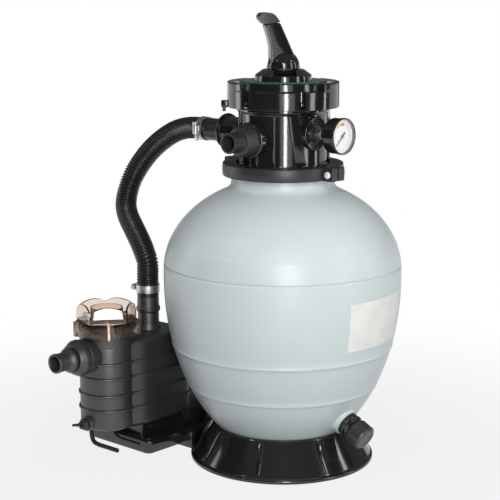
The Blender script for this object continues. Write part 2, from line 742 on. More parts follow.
def build_diffuser(valve, looks):
    """Diffuser that hangs on the valve's centre socket, inside the neck."""
    bore = clear_bore(SOCKET_RADIUS, PIPE_SIDES)
    neck = bore + DIFFUSER_NECK
    flare = bore + DIFFUSER_FLARE
    inside = flare - DIFFUSER_WALL
    under = -DIFFUSER_SHOULDER - 1.4 * DIFFUSER_WALL
    profile = [
        (bore, -DIFFUSER_TOP), (neck, -DIFFUSER_TOP), (neck, -DIFFUSER_SHOULDER), (flare, -DIFFUSER_KNEE),
        (flare, -DIFFUSER_DROP), (inside, -DIFFUSER_DROP), (inside, -DIFFUSER_KNEE - 0.6 * DIFFUSER_WALL),
        (bore + 0.6 * DIFFUSER_WALL, under), (bore, under),
    ]
    piece("diffuser", lathe("diffuser", profile, PIPE_SIDES), looks["white"], valve)


def build_clamp(valve, looks):
    """Two clamp halves round the tank and valve flanges, with a bolt and nut at each pair of lugs."""
    steps = RING_SIDES // 2
    inside = clear_bore(FLANGE_RADIUS, RING_SIDES)
    outer = inside + CLAMP_WALL
    neck = clear_bore(NECK_RADIUS, RING_SIDES)
    low = -FLANGE_THICK - CLEAR
    high = FLANGE_THICK + 2 * CLEAR
    section = [
        (neck, low - CLAMP_LIP), (outer, low - CLAMP_LIP), (outer, high + CLAMP_LIP),
        (BODY_RADIUS + 0.0036, high + CLAMP_LIP), (BODY_RADIUS + 0.0036, high), (inside, high), (inside, low),
        (neck, low),
    ]
    spread = math.degrees(CLAMP_GAP / outer)
    bolt_x = outer + LUG_REACH * 0.42
    for name, sign in (("clamp_half_front", -1), ("clamp_half_rear", 1)):
        mesh = arc_lathe(name, section, sign * spread, sign * (180.0 - 2 * spread), steps)
        half = piece(name, mesh, looks["satin"], valve)
        for side in (-1, 1):
            near = side * (outer - 0.003)
            far = side * (outer + LUG_REACH)
            ends = sorted((sign * CLAMP_GAP, sign * LUG_LENGTH))
            lug_low = (min(near, far), ends[0], low - CLAMP_LIP)
            lug_high = (max(near, far), ends[1], high + CLAMP_LIP)
            unite(half, block("lug", lug_low, lug_high))
            hole = rod("hole", BOLT_RADIUS + CLEAR, -0.04, 0.04)
            cut(half, hole, location=(side * bolt_x, 0, 0), direction=(0, 1, 0))
    grip = LUG_LENGTH + CLEAR
    for name, side in (("gauge_side", 1), ("hose_side", -1)):
        spot = (side * bolt_x, 0, 0)
        shank = [
            (0, -grip - 0.004), (BOLT_HEAD, -grip - 0.004), (BOLT_HEAD, -grip), (BOLT_RADIUS, -grip),
            (BOLT_RADIUS, grip + 0.0095), (0, grip + 0.0095),
        ]
        bolt = "clamp_bolt_" + name
        piece(bolt, lathe(bolt, shank, SMALL_SIDES), looks["zinc"], valve, spot, (0, 1, 0))
        nut = "clamp_nut_" + name
        hexagon = ring(nut, clear_bore(BOLT_RADIUS, 6), BOLT_HEAD + 0.0006, grip, grip + 0.0045, 6)
        piece(nut, hexagon, looks["zinc"], valve, spot, (0, 1, 0))


def lid_section(raised):
    """The lid's section, with its outer deck low or raised."""
    deck = LID_DECK + LID_RISE * raised
    drum = PLATE_RADIUS + 0.0025
    cup = HUB_DOME + 0.0022
    hole = STEM_RADIUS + 0.0004
    skirt = clear_bore(RIM_RADIUS, 26)
    return [
        (skirt, BODY_HEIGHT - RIM_THICK - 0.0005), (LID_RADIUS, BODY_HEIGHT - RIM_THICK - 0.0005),
        (LID_RADIUS, deck - 0.0015), (LID_RADIUS - 0.0015, deck), (drum + 0.0015, deck), (drum, LID_TOP),
        (COLLAR_RADIUS, LID_TOP), (COLLAR_RADIUS, LID_TOP + COLLAR_EDGE), (cup + 0.0025, COLLAR_TOP),
        (cup, COLLAR_TOP), (cup, COLLAR_FLOOR), (hole, COLLAR_FLOOR), (hole, LID_UNDER),
        (BODY_BORE - 0.001, LID_UNDER), (BODY_BORE - 0.001, LID_SEAT), (skirt, LID_SEAT),
    ]


def lid_stations():
    """Angles round the lid, each with a low or a raised deck."""
    ramp = 1.5
    stations = []
    for index, (start, end) in enumerate(LID_TOWERS):
        last = index + 1 == len(LID_TOWERS)
        following = LID_TOWERS[0][0] + 360.0 if last else LID_TOWERS[index + 1][0]
        steps = 7
        stations += [(start + ramp + (end - start - 2 * ramp) * step / steps, 1) for step in range(steps + 1)]
        stations += [(end + (following - end) * step / steps, 0) for step in range(steps + 1)]
    return stations


def build_lid(valve, looks):
    """Valve lid with two raised sectors, screw pockets and the handle's collar, and the position plate."""
    loops = [[around(r, angle, z) for r, z in lid_section(raised)] for angle, raised in lid_stations()]
    lid = piece("valve_lid", skin("valve_lid", loops, True), looks["gloss"], valve)
    for index in range(LID_POCKETS):
        spot = around(LID_RADIUS - LID_POCKET_RADIUS + 0.0012, 30.0 + 360.0 * index / LID_POCKETS, 0)
        cut(lid, rod("pocket", LID_POCKET_RADIUS, LID_DECK - 0.009, LID_TOP + 0.01, 10), location=spot)
    low = LID_TOP + CLEAR
    plate = ring("position_plate", COLLAR_RADIUS + CLEAR, PLATE_RADIUS, low, low + PLATE_THICK)
    piece("position_plate", plate, looks["green"], valve)


def least_gap(points, wire, neighbours):
    """The smallest distance between the surfaces of two stretches of a wound wire."""
    best = None
    for index, here in enumerate(points):
        for other in points[index + neighbours:]:
            gap = (here - other).length - 2 * wire
            best = gap if best is None or gap < best else best
    return best


def tube_loops(points, radii, sides):
    """Rings of points along a path, turned as little as possible from one to the next."""
    loops = []
    side = None
    for index, here in enumerate(points):
        before = points[max(index - 1, 0)]
        after = points[min(index + 1, len(points) - 1)]
        along = (after - before).normalized()
        if side is None:
            side = along.orthogonal().normalized()
        side = (side - along * side.dot(along)).normalized()
        other = along.cross(side)
        loop = []
        for step in range(sides):
            turn = 2 * math.pi * (step + 0.5) / sides
            loop.append(here + (side * math.cos(turn) + other * math.sin(turn)) * radii[index])
        loops.append(loop)
    return loops


def build_rotor(valve, looks):
    """Rotor with its stem, gasket, spring and thrust washer, all on the valve's axis."""
    low = SPIDER_HEIGHT + CLEAR
    disc = ring("rotor_gasket", PIPE_BORE, BODY_BORE - 0.0006, low, low + GASKET_THICK, PART_SIDES)
    gasket = piece("rotor_gasket", disc, looks["rubber"], valve)
    for index in range(4):
        spot = around(0.037, 90.0 * index)
        cut(gasket, rod("window", 0.0145, 0, BODY_HEIGHT, 8), location=spot)
    stem_top = PIN_HEIGHT + STEM_ABOVE_PIN
    profile = [
        (0, ROTOR_LOW), (BODY_BORE - 0.0025, ROTOR_LOW), (BODY_BORE - 0.0025, ROTOR_TOP), (0.017, ROTOR_TOP),
        (0.015, ROTOR_TOP + 0.008), (STEM_RADIUS, ROTOR_TOP + 0.010), (STEM_RADIUS, stem_top), (0, stem_top),
    ]
    rotor = piece("valve_rotor", lathe("valve_rotor", profile, PART_SIDES), looks["satin"], valve)
    cut(rotor, rod("window", 0.0125, 0, ROTOR_TOP + 0.02, 8), location=around(0.040, 180.0))
    pin_line = around(1.0, HANDLE_ANGLE + 90.0)
    pin_spot = (0, 0, PIN_HEIGHT)
    cut(rotor, rod("hole", PIN_RADIUS + CLEAR, -0.03, 0.03), location=pin_spot, direction=pin_line)
    reach = HUB_DOME - 0.0035
    pin = rod("handle_pin", PIN_RADIUS, -reach, reach)
    piece("handle_pin", pin, looks["steel"], valve, pin_spot, pin_line)
    washer_top = LID_UNDER - CLEAR
    washer_low = washer_top - WASHER_THICK
    wide = SPRING_RADIUS + 0.003
    washer = ring("thrust_washer", STEM_RADIUS + CLEAR, wide, washer_low, washer_top, PIPE_SIDES)
    piece("thrust_washer", washer, looks["steel"], valve)
    low = ROTOR_TOP + CLEAR + SPRING_WIRE
    high = washer_low - CLEAR - SPRING_WIRE
    count = SPRING_TURNS * 8
    rise = (high - low) / count
    coil = [Vector(around(SPRING_RADIUS, 45.0 * step, low + rise * step)) for step in range(count + 1)]
    print("least gap in the rotor spring, mm:", round(1000 * least_gap(coil, SPRING_WIRE, 5), 2))
    loops = tube_loops(coil, [SPRING_WIRE] * len(coil), 5)
    piece("rotor_spring", skin("rotor_spring", loops, False), looks["steel"], valve)


def lever_outline():
    """The lever's side view in the handle's own frame: x towards the lean, y up from the pin."""
    lean = LEVER_LEAN
    rise = LEVER_RISE
    return [
        (-0.020, 0.008), (-0.0123, 0.256 * rise), (-0.0030, 0.52 * rise), (0.0065, 0.78 * rise),
        (0.0150, 0.962 * rise), (0.0220, rise), (lean - 0.003, 0.993 * rise), (lean, 0.87 * rise),
        (lean - 0.0105, 0.68 * rise), (lean - 0.0165, 0.49 * rise), (lean - 0.0187, 0.34 * rise),
        (0.0212, 0.008),
    ]


def build_handle(valve, looks):
    """Handle: a domed hub in the lid's collar and a leaning lever, turning on the pin through the stem."""
    pin_frame = empty("handle_axis", (0, 0, PIN_HEIGHT), valve)
    pin_frame.rotation_euler = (0, 0, math.radians(HANDLE_ANGLE))
    dome = [(0, HUB_DOME)]
    for index in range(1, 6):
        dome.append(around(HUB_DOME, 90.0 - 18.0 * index)[:2])
    low = math.degrees(math.asin(HUB_BELOW / HUB_DOME))
    dome.append(around(HUB_DOME, -low / 2)[:2])
    dome.append(around(HUB_DOME, -low)[:2])
    dome.append((0, -HUB_BELOW))
    handle = piece("valve_handle", lathe("valve_handle", dome, PART_SIDES), looks["gloss"], pin_frame)
    side = HANDLE_HALF_WIDTH
    lever = skin("lever", [[(x, y, z) for x, z in lever_outline()] for y in (-side, side)], False)
    unite(handle, lever)
    slot = STEM_RADIUS + 0.0005
    tilt = math.radians(HANDLE_TILT)
    swing = STEM_RADIUS / math.cos(tilt) + 0.0005
    back = STEM_RADIUS * math.cos(tilt) + STEM_ABOVE_PIN * math.sin(tilt) + 0.0008
    foot = swing + 0.03 * math.tan(tilt)
    top = STEM_RADIUS * math.sin(tilt) + STEM_ABOVE_PIN + 0.001
    ends = [
        (-swing, -0.03), (foot, -0.03), (swing, 0.0), (swing, top), (-back, top), (-back, 0.0),
        (-swing, -0.004),
    ]
    cut(handle, skin("slot", [[(x, y, z) for x, z in ends] for y in (-slot, slot)], False))
    cut(handle, rod("hole", PIN_RADIUS + CLEAR, -0.05, 0.05), direction=(0, 1, 0))


def tail_profile(start, shoulder, shoulder_end, tail, end):
    """A hose tail: spigot in the port, shoulder, cone and tail with a bead at its tip."""
    spigot = PORT_BORE - CLEAR
    seat = PORT_REACH + CLEAR
    return [
        (TAIL_BORE, start), (spigot, start), (spigot, seat), (shoulder, seat),
        (shoulder, shoulder_end - 0.003), (tail, shoulder_end), (tail, end - 0.004),
        (tail + 0.0006, end - 0.002), (tail, end), (TAIL_BORE, end),
    ]


def build_adapters(valve, looks):
    """Hose tails in the return, waste and pump ports."""
    spot = (0, 0, PORT_HEIGHT)
    start = BODY_RADIUS - 0.003
    shoulder_end = PORT_REACH + SHOULDER_LENGTH
    end = shoulder_end + TAIL_LENGTH
    plain = tail_profile(start, SHOULDER_RADIUS, shoulder_end, TAIL_RADIUS, end)
    for port in ("return", "waste"):
        name = port + "_adapter"
        piece(name, lathe(name, plain, PIPE_SIDES), looks["satin"], valve, spot, PORTS[port])
    stop = HOSE_STOP_REACH - HOSE_STOP_THICK
    hose_end = HOSE_STOP_REACH + HOSE_TAIL_LENGTH
    spigot = PORT_BORE - CLEAR
    seat = PORT_REACH + CLEAR
    flanged = [
        (TAIL_BORE, start), (spigot, start), (spigot, seat), (SHOULDER_RADIUS, seat),
        (SHOULDER_RADIUS, stop), (HOSE_STOP_RADIUS, stop), (HOSE_STOP_RADIUS, HOSE_STOP_REACH),
        (HOSE_TAIL_RADIUS, HOSE_STOP_REACH), (HOSE_TAIL_RADIUS, hose_end), (TAIL_BORE, hose_end),
    ]
    mesh = lathe("pump_adapter", flanged, PIPE_SIDES)
    piece("pump_adapter", mesh, looks["satin"], valve, spot, PORTS["pump"])


def build_gauge(valve, looks):
    """Pressure gauge: case with its stem, dial, needle on the dial's axis, and lens."""
    spot = (0, GAUGE_SIDE, GAUGE_HEIGHT)
    aim = (1, 0, 0)
    seat = GAUGE_BOSS_REACH + CLEAR
    back = GAUGE_BOSS_REACH + GAUGE_NECK
    front = back + GAUGE_DEPTH
    dial_step = front - GAUGE_DIAL_DEPTH
    lens_step = front - GAUGE_LENS_DEPTH
    mouth = GAUGE_RADIUS - GAUGE_WALL
    bore = mouth - GAUGE_STEP
    well = bore - 1.5 * GAUGE_STEP
    drum = GAUGE_RADIUS - GAUGE_WALL / 2
    tip = GAUGE_BOSS_REACH - GAUGE_STEM_INSIDE
    hexagon = seat + GAUGE_HEX_LENGTH
    bezel = front - GAUGE_BEZEL
    floor = back + GAUGE_WALL
    shell = [
        (0, tip), (GAUGE_STEM_RADIUS, tip), (GAUGE_STEM_RADIUS, seat), (GAUGE_HEX_RADIUS, seat),
        (GAUGE_HEX_RADIUS, hexagon), (GAUGE_PIPE_RADIUS, hexagon + GAUGE_STEP), (GAUGE_PIPE_RADIUS, back),
        (drum, back), (drum, bezel - GAUGE_WALL / 2), (GAUGE_RADIUS, bezel), (GAUGE_RADIUS, front),
        (mouth, front), (mouth, lens_step), (bore, lens_step), (bore, dial_step), (well, dial_step),
        (well, floor), (0, floor),
    ]
    piece("gauge_case", lathe("gauge_case", shell, PART_SIDES), looks["gloss"], valve, spot, aim)
    dial_face = dial_step + CLEAR + 0.0008
    dial = ring("gauge_dial", 0.0012, bore - CLEAR, dial_step + CLEAR, dial_face, PART_SIDES)
    piece("gauge_dial", dial, looks["dial"], valve, spot, aim)
    lens = rod("gauge_lens", mouth - CLEAR, lens_step + CLEAR, front - GAUGE_WALL, PART_SIDES)
    piece("gauge_lens", lens, looks["glass"], valve, spot, aim)
    needle_low = dial_face + 0.0008
    arbor = [
        (0, dial_step + CLEAR), (0.0008, dial_step + CLEAR), (0.0008, needle_low - 0.0002),
        (0.0026, needle_low - 0.0002), (0.0026, needle_low + 0.0012), (0, needle_low + 0.0012),
    ]
    needle = piece("gauge_needle", lathe("gauge_needle", arbor, 10), looks["satin"], valve, spot, aim)
    along = Vector((0.7071, -0.7071))
    across = Vector((0.7071, 0.7071))
    corners = (
        (NEEDLE_LENGTH, 0.0003), (0, 0.0009), (-NEEDLE_TAIL, 0.0013), (-NEEDLE_TAIL, -0.0013),
        (0, -0.0009), (NEEDLE_LENGTH, -0.0003),
    )
    outline = [along * far + across * wide for far, wide in corners]
    pointer = prism("pointer", [tuple(point) for point in outline], needle_low, needle_low + 0.0007)
    unite(needle, pointer, location=spot, direction=aim)


def smooth_path(points, per_span):
    """A smooth curve through the route's points."""
    ends = [points[0] * 2 - points[1]] + points + [points[-1] * 2 - points[-2]]
    curve = []
    for index in range(1, len(ends) - 2):
        a, b, c, d = ends[index - 1:index + 3]
        for step in range(per_span):
            t = step / per_span
            curve.append(0.5 * ((2 * b) + (c - a) * t + (2 * a - 5 * b + 4 * c - d) * t * t
                                + (3 * b - a - 3 * c + d) * t ** 3))
    curve.append(points[-1])
    return curve


def along_path(curve, distances):
    """Points at given distances along a curve."""
    lengths = [0.0]
    for here, there in zip(curve, curve[1:]):
        lengths.append(lengths[-1] + (there - here).length)
    found = []
    span = 0
    for distance in distances:
        while span < len(curve) - 2 and lengths[span + 1] < distance:
            span += 1
        share = (distance - lengths[span]) / (lengths[span + 1] - lengths[span])
        found.append(curve[span].lerp(curve[span + 1], share))
    return found, lengths[-1]


def hose_curve():
    """The hose's middle line, from the valve's hose stop to the pump's discharge fitting."""
    port_z = FLANGE_PLANE + PORT_HEIGHT
    start = Vector((-HOSE_STOP_REACH - CLEAR, 0, port_z))
    end = Vector((PUMP_X, POT_SIDE + DISCHARGE_SIDE, DISCHARGE_HOSE))
    lead = [start, start + Vector((-HOSE_LEAD / 2, 0, 0)), start + Vector((-HOSE_LEAD, 0, 0))]
    tail = [end + Vector((0, 0, HOSE_LOW_LEAD)), end + Vector((0, 0, HOSE_LOW_LEAD / 2)), end]
    return smooth_path(lead + [Vector(point) for point in HOSE_ROUTE] + tail, 12)


def build_hose(root, looks):
    """Ribbed hose with plain cuffs, hollow from end to end."""
    curve = hose_curve()
    total = along_path(curve, [0.0])[1]
    ribs = 2 * HOSE_RIBS
    stretch = total - HOSE_CUFF - HOSE_LOW_CUFF
    distances = [0.0, HOSE_CUFF - 0.001]
    radii = [HOSE_CREST, HOSE_CREST]
    for index in range(ribs):
        distances.append(HOSE_CUFF + stretch * (index + 0.5) / ribs)
        radii.append(HOSE_ROOT if index % 2 == 0 else HOSE_CREST)
    distances += [total - HOSE_LOW_CUFF + 0.001, total]
    radii += [HOSE_CREST, HOSE_CREST]
    outer = tube_loops(along_path(curve, distances)[0], radii, HOSE_SIDES)
    inside = [total * index / HOSE_BORE_RINGS for index in range(HOSE_BORE_RINGS + 1)]
    bore = tube_loops(along_path(curve, inside)[0], [HOSE_BORE] * len(inside), HOSE_SIDES)
    hose = piece("filter_hose", skin("filter_hose", outer + bore[::-1], True), looks["hose"], root)
    hose.data.set_sharp_from_angle(angle=math.radians(80))
    print("hose length, m:", round(total, 4))


def build_hose_clamps(root, looks):
    """Worm-drive clamps on the hose's two cuffs."""
    bore = HOSE_CREST + CLEAR
    inner = bore / math.cos(math.pi / PIPE_SIDES)
    outer = inner + BAND_THICK
    half = BAND_WIDTH / 2
    valve_x = -HOSE_STOP_REACH - HOSE_CUFF + half + 0.004
    pump_z = DISCHARGE_HOSE + HOSE_LOW_CUFF - half - 5 * CLEAR
    places = {
        "hose_clamp_valve": ((valve_x, 0, FLANGE_PLANE + PORT_HEIGHT), (-1, 0, 0), -90.0),
        "hose_clamp_pump": ((PUMP_X, POT_SIDE + DISCHARGE_SIDE, pump_z), (0, 0, 1), 180.0),
    }
    for name, (spot, aim, side) in places.items():
        mesh = lathe(name, [(inner, -half), (outer, -half), (outer, half), (inner, half)], PIPE_SIDES)
        band = piece(name, mesh, looks["steel"], root, spot, aim)
        frame = empty(name + "_screw", spot, root)
        frame.rotation_euler = band.rotation_euler
        housing = block("housing", (outer - 0.0008, -0.007, -half * 0.9), (outer + 0.0055, 0.007, half * 0.9))
        screw = rod("screw", 0.0032, -0.0125, 0.0115, 8)
        tool = piece("tool", housing, None, frame, turn=side)
        combine(band, tool, "UNION")
        carrier = empty(name + "_turn", (0, 0, 0), frame)
        carrier.rotation_euler = (0, 0, math.radians(side))
        tool = piece("tool", screw, None, carrier, (outer + 0.0024, 0, 0), (0, 1, 0))
        combine(band, tool, "UNION")
        bpy.data.objects.remove(carrier)
        bpy.data.objects.remove(frame)


def pump_outline(proud):
    """The pump housing in plan: the pot's round front and the chamber's square back."""
    radius = POT_RADIUS + POT_SHELL + proud
    half = CHAMBER_HALF + proud
    corner = CHAMBER_CORNER
    outline = [around(radius, 165.0 + 17.5 * index)[:2] for index in range(13)]
    outline.append((half, POT_RADIUS * 0.75))
    for index in range(4):
        spot = around(corner, 30.0 * index)
        outline.append((half - corner + spot[0], CHAMBER_LENGTH - corner + spot[1]))
    for index in range(4):
        spot = around(corner, 90.0 + 30.0 * index)
        outline.append((-half + corner + spot[0], CHAMBER_LENGTH - corner + spot[1]))
    outline.append((-half, POT_RADIUS * 0.75))
    return outline


def build_pump_housing(pump, looks):
    """Pump housing in one moulding: strainer pot, impeller chamber, bosses and discharge neck."""
    levels = [(POT_BOTTOM, -0.003), (POT_BOTTOM + 0.003, 0.0)]
    for height in RIDGES:
        levels += [(height - RIDGE_HALF, 0.0), (height, RIDGE_PROUD), (height + RIDGE_HALF, 0.0)]
    levels += [(CHAMBER_TOP - 0.014, 0.0), (CHAMBER_TOP - 0.005, -0.004), (CHAMBER_TOP, -0.013)]
    loops = [[(x, y, z) for x, y in pump_outline(proud)] for z, proud in levels]
    housing = piece("pump_housing", skin("pump_housing", loops, False), looks["charcoal"], pump)
    pot = [(0, POT_BOTTOM + 0.004), (POT_RADIUS, POT_BOTTOM + 0.004), (POT_RADIUS, POT_TOP - CLEAR),
           (POT_NECK_RADIUS, POT_TOP), (POT_NECK_RADIUS, NECK_TOP), (0, NECK_TOP)]
    unite(housing, lathe("pot", pot, POT_SIDES))
    suction = (0, 0, SUCTION_HEIGHT)
    front = (0, -1, 0)
    boss = rod("boss", SUCTION_BOSS_RADIUS, 0, SUCTION_BOSS_REACH, PART_SIDES)
    unite(housing, boss, location=suction, direction=front)
    outlet = (0, DISCHARGE_SIDE, 0)
    unite(housing, rod("neck", DISCHARGE_RADIUS, 0.15, DISCHARGE_TOP, PIPE_SIDES), location=outlet)
    plug = (0, 0, PLUG_HEIGHT)
    unite(housing, rod("boss", PLUG_RADIUS + 0.0025, 0.02, PLUG_BOSS_REACH), location=plug, direction=front)
    floor = POT_BOTTOM + POT_WALL + 0.003
    over = NECK_TOP + 0.01
    bore = [
        (0, floor), (POT_BORE, floor), (POT_BORE, BASKET_LEDGE), (BASKET_HOLD, BASKET_LEDGE),
        (BASKET_HOLD, over), (0, over),
    ]
    cut(housing, lathe("pot_bore", bore, POT_SIDES))
    inlet = rod("suction", SUCTION_BORE, 0.02, SUCTION_BOSS_REACH + 0.01)
    cut(housing, inlet, location=suction, direction=front)
    cut(housing, rod("plug", PLUG_BORE, 0.02, PLUG_BOSS_REACH + 0.01, 10), location=plug, direction=front)
    shaft = (0, 0, SHAFT_HEIGHT)
    back = (0, 1, 0)
    chamber = rod("chamber", CHAMBER_BORE, 0.075, CHAMBER_LENGTH + 0.01, POT_SIDES)
    cut(housing, chamber, location=shaft, direction=back)
    cut(housing, rod("eye", EYE_BORE, 0.02, 0.08), location=shaft, direction=back)
    cut(housing, rod("outlet", OUTLET_BORE, SHAFT_HEIGHT, DISCHARGE_TOP + 0.01), location=outlet)


def crown_sections(low):
    """Sections round the strainer lid's crown: a wall of lobes, each with an arched top."""
    steps = 6 * CROWN_LOBES
    sections = []
    for index in range(steps):
        angle = 360.0 * index / steps
        outer = CROWN_RADIUS + CROWN_SCALLOP * math.cos(math.radians(angle * CROWN_LOBES))
        arch = math.sqrt(abs(math.cos(math.radians(angle * CROWN_LOBES / 2))))
        top = CROWN_VALLEY + (CROWN_TOP - CROWN_VALLEY) * arch
        corners = ((outer, low), (outer, top), (outer - CROWN_WALL, top), (outer - CROWN_WALL, low))
        sections.append([around(radius, CROWN_START + angle, height) for radius, height in corners])
    return sections


def build_strainer(pump, looks):
    """Basket in the pot, the clear lid over it and the seal between lid and pot."""
    rim = BASKET_HOLD - CLEAR
    seat = BASKET_LEDGE + CLEAR
    inner = BASKET_RADIUS - BASKET_WALL
    cup = [
        (0, BASKET_BOTTOM), (BASKET_RADIUS - 0.003, BASKET_BOTTOM), (BASKET_RADIUS, seat), (rim, seat),
        (rim, seat + 0.003), (inner, seat + 0.003), (inner - 0.003, BASKET_BOTTOM + BASKET_WALL),
        (0, BASKET_BOTTOM + BASKET_WALL),
    ]
    basket = piece("strainer_basket", lathe("strainer_basket", cup, POT_SIDES), looks["satin"], pump)
    inlet = rod("inlet", SUCTION_BORE - 0.0005, 0.02, 0.06)
    cut(basket, inlet, location=(0, 0, SUCTION_HEIGHT), direction=(0, -1, 0))
    seal = ring("strainer_lid_seal", POT_BORE + 0.0022, POT_NECK_RADIUS - 0.0006, NECK_TOP + CLEAR,
                NECK_TOP + CLEAR + STRAINER_SEAL, PART_SIDES)
    piece("strainer_lid_seal", seal, looks["rubber"], pump)
    deck = STRAINER_UNDER + STRAINER_DECK
    skirt = POT_NECK_RADIUS + 2 * CLEAR
    cover = [
        (0, STRAINER_UNDER), (skirt, STRAINER_UNDER), (skirt, STRAINER_LOW), (STRAINER_RADIUS, STRAINER_LOW),
        (STRAINER_RADIUS, deck - 0.002), (STRAINER_RADIUS - 0.002, deck), (0, deck),
    ]
    lid = piece("strainer_lid", lathe("strainer_lid", cover, RING_SIDES), looks["amber"], pump)
    unite(lid, skin("crown", crown_sections(deck - 0.001), True))
    for index in range(CROWN_LOBES):
        corner = (STRAINER_RADIUS - 0.0015, -STRAINER_LUG_HALF, STRAINER_LOW + 0.0005)
        lug = block("lug", corner, (STRAINER_LUG_REACH, STRAINER_LUG_HALF, deck - 0.0025))
        unite(lid, lug, turn=CROWN_START + 360.0 * index / CROWN_LOBES)


def build_pump_fittings(pump, looks):
    """Suction nut and tail, discharge tail, drain plug and the bent drain tube under the pot."""
    suction = (0, 0, SUCTION_HEIGHT)
    aim = (0, -1, 0)
    seat = SUCTION_BOSS_REACH + CLEAR
    nut_end = seat + SUCTION_NUT_LENGTH
    collar = SUCTION_TAIL_RADIUS + 0.0024
    shoulder = collar + 0.0025
    flange = collar + 0.004
    nut = [
        (flange + CLEAR, seat), (SUCTION_NUT_RADIUS, seat), (SUCTION_NUT_RADIUS, seat + SUCTION_NUT_GRIP),
        (SUCTION_NUT_FACE + 0.0015, nut_end - 0.001), (SUCTION_NUT_FACE, nut_end), (collar + CLEAR, nut_end),
        (collar + CLEAR, seat + 0.005), (flange + CLEAR, seat + 0.005),
    ]
    piece("suction_nut", lathe("suction_nut", nut, PART_SIDES), looks["charcoal"], pump, suction, aim)
    tail = SUCTION_TAIL_RADIUS
    end = SUCTION_REACH
    adapter = [
        (TAIL_BORE, seat), (flange, seat), (flange, seat + 0.005 - CLEAR), (collar, seat + 0.005 - CLEAR),
        (collar, nut_end + 0.0012), (shoulder, nut_end + 0.0022), (shoulder, nut_end + 0.0065),
        (tail, nut_end + 0.012), (tail, end - 0.006), (tail + 0.0008, end - 0.004), (tail, end),
        (TAIL_BORE, end),
    ]
    mesh = lathe("suction_adapter", adapter, PIPE_SIDES)
    piece("suction_adapter", mesh, looks["charcoal"], pump, suction, aim)
    base = DISCHARGE_TOP + CLEAR
    top = base + DISCHARGE_FITTING
    riser = [
        (TAIL_BORE, base), (0.0185, base), (0.0185, base + 0.006), (0.0168, base + 0.0075), (0.0168, top),
        (HOSE_TAIL_RADIUS, top), (HOSE_TAIL_RADIUS, top + 0.028), (TAIL_BORE, top + 0.028),
    ]
    mesh = lathe("discharge_adapter", riser, PIPE_SIDES)
    piece("discharge_adapter", mesh, looks["charcoal"], pump, (0, DISCHARGE_SIDE, 0))
    face = PLUG_BOSS_REACH + CLEAR
    shank = PLUG_BORE - CLEAR - 0.0001
    stopper = [
        (0, 0.036), (shank, 0.036), (shank, face), (PLUG_RADIUS, face), (PLUG_RADIUS, face + 0.005),
        (0.0055, face + 0.0065), (0.0055, face + 0.010), (0, face + 0.010),
    ]
    spot = (0, 0, PLUG_HEIGHT)
    mesh = lathe("pot_drain_plug", stopper, SMALL_SIDES)
    plug = piece("pot_drain_plug", mesh, looks["satin"], pump, spot, aim)
    wing = block("wing", (-0.0105, -0.0019, face + 0.005), (0.0105, 0.0019, face + 0.020))
    unite(plug, wing, location=spot, direction=aim)
    bend = 0.011
    low = DRIP_RADIUS + 0.0008
    path = [Vector((DRIP_START, DRIP_SIDE, POT_BOTTOM - CLEAR))]
    for index in range(5):
        offset = around(bend, 180.0 + 22.5 * index)
        path.append(Vector((DRIP_START + bend + offset[0], DRIP_SIDE, low + bend + offset[1])))
    path.append(Vector((DRIP_END, DRIP_SIDE, low)))
    loops = tube_loops(path, [DRIP_RADIUS] * len(path), HOSE_SIDES)
    piece("drain_tube", skin("drain_tube", loops, False), looks["rubber"], pump)


def build_platform(root, pump, looks):
    """Platform under the pump, with a raised pad and a tab that fits round the tank's base."""
    near_corner = (-PLATFORM_HALF, PLATFORM_FRONT)
    outline = rounded_outline(near_corner, (PLATFORM_HALF, PLATFORM_REAR), PLATFORM_CORNER)
    slab = prism("pump_platform", outline, 0.0, PLATFORM_HEIGHT)
    platform = piece("pump_platform", slab, looks["gloss"], pump)
    pad_start = (-PAD_HALF, PLATFORM_FRONT + 0.012)
    pad = rounded_outline(pad_start, (PAD_HALF, CHAMBER_LENGTH - 0.004), PLATFORM_CORNER / 2)
    unite(platform, prism("pad", pad, PLATFORM_HEIGHT - 0.001, POT_BOTTOM - CLEAR))
    near = PLATFORM_HALF - 0.01
    far = -PUMP_X - BASE_RADIUS * 0.55
    side = -POT_SIDE
    tab = block("tab", (near, side - TAB_HALF, 0.0), (far, side + TAB_HALF, PLATFORM_HEIGHT - 0.002))
    unite(platform, tab)
    hole = rod("hole", BASE_RADIUS + 2 * CLEAR, -0.01, PLATFORM_HEIGHT + 0.01, 56)
    combine(platform, piece("tool", hole, None, root), "DIFFERENCE")


